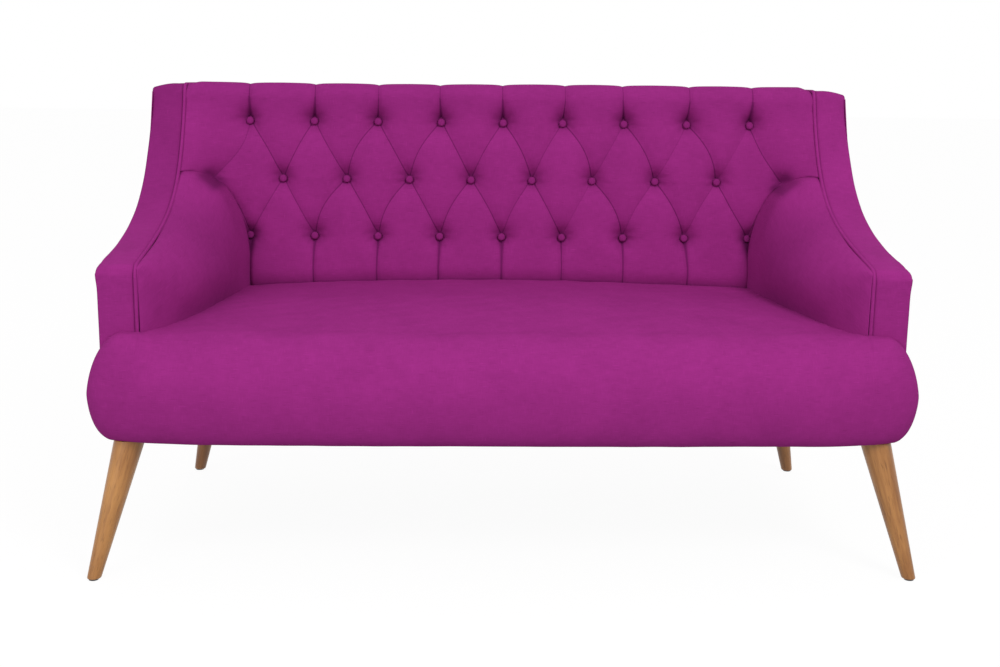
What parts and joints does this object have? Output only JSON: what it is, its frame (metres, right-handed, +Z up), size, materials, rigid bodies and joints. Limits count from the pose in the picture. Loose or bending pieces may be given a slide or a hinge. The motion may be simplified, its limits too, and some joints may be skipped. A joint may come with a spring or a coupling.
{
  "type": "two-seater sofa",
  "caption": "Loveseat with a deep-buttoned back, curved winged arms, a tight seat with a rolled front and splayed round wooden legs.",
  "frame": {"origin": "on the floor, under the middle of the sofa", "axes": "+X to the right as seen from the front, +Y from the front towards the back, +Z up"},
  "size_m": [1.3939, 0.6697, 0.812],
  "materials": {
    "cover_fabric": "plain linen-look weave with fine horizontal slubs, matt",
    "dust_fabric": "thin black non-woven sheet",
    "leg_wood": "turned hardwood, satin honey-brown lacquer",
    "frame_wood": "planed softwood, untreated",
    "panel_board": "plywood, sanded, untreated",
    "foam": "open-cell foam block, matt",
    "felt": "needled felt",
    "spring_steel": "oiled spring wire",
    "zinc_steel": "zinc-plated steel",
    "glide_plastic": "moulded nylon",
    "twine": "waxed linen twine"
  },
  "bodies": {
    "root": {"front_left_leg": "leg_wood", "front_right_leg": "leg_wood", "rear_left_leg": "leg_wood", "rear_right_leg": "leg_wood", "foot_glides": "glide_plastic", "hanger_bolts": "zinc_steel", "leg_plates": "zinc_steel", "leg_plate_screws": "zinc_steel", "leg_boards": "frame_wood", "front_rail": "frame_wood", "rear_rail": "frame_wood", "left_side_rail": "frame_wood", "right_side_rail": "frame_wood", "centre_rail": "frame_wood", "rail_dowels": "frame_wood", "left_side_panel": "panel_board", "right_side_panel": "panel_board", "left_arm_post": "frame_wood", "right_arm_post": "frame_wood", "left_arm_top_rail": "frame_wood", "right_arm_top_rail": "frame_wood", "left_arm_board": "panel_board", "right_arm_board": "panel_board", "panel_screws": "zinc_steel", "left_back_post": "frame_wood", "right_back_post": "frame_wood", "top_back_rail": "frame_wood", "lower_back_rail": "frame_wood", "left_back_stile": "frame_wood", "right_back_stile": "frame_wood", "tufting_board": "panel_board", "seat_springs": "spring_steel", "spring_clips": "zinc_steel", "spring_felt": "felt", "seat_foam": "foam", "back_foam": "foam", "left_arm_foam": "foam", "right_arm_foam": "foam", "seat_cover": "cover_fabric", "back_cover": "cover_fabric", "left_inside_arm_cover": "cover_fabric", "right_inside_arm_cover": "cover_fabric", "left_arm_facing": "cover_fabric", "right_arm_facing": "cover_fabric", "left_piping": "cover_fabric", "right_piping": "cover_fabric", "left_outside_arm_cover": "cover_fabric", "right_outside_arm_cover": "cover_fabric", "outside_back_cover": "cover_fabric", "dust_cover": "dust_fabric", "top_row_buttons": "cover_fabric", "middle_row_buttons": "cover_fabric", "bottom_row_buttons": "cover_fabric", "button_twines": "twine", "twine_toggles": "twine"}
  },
  "joints": []
}
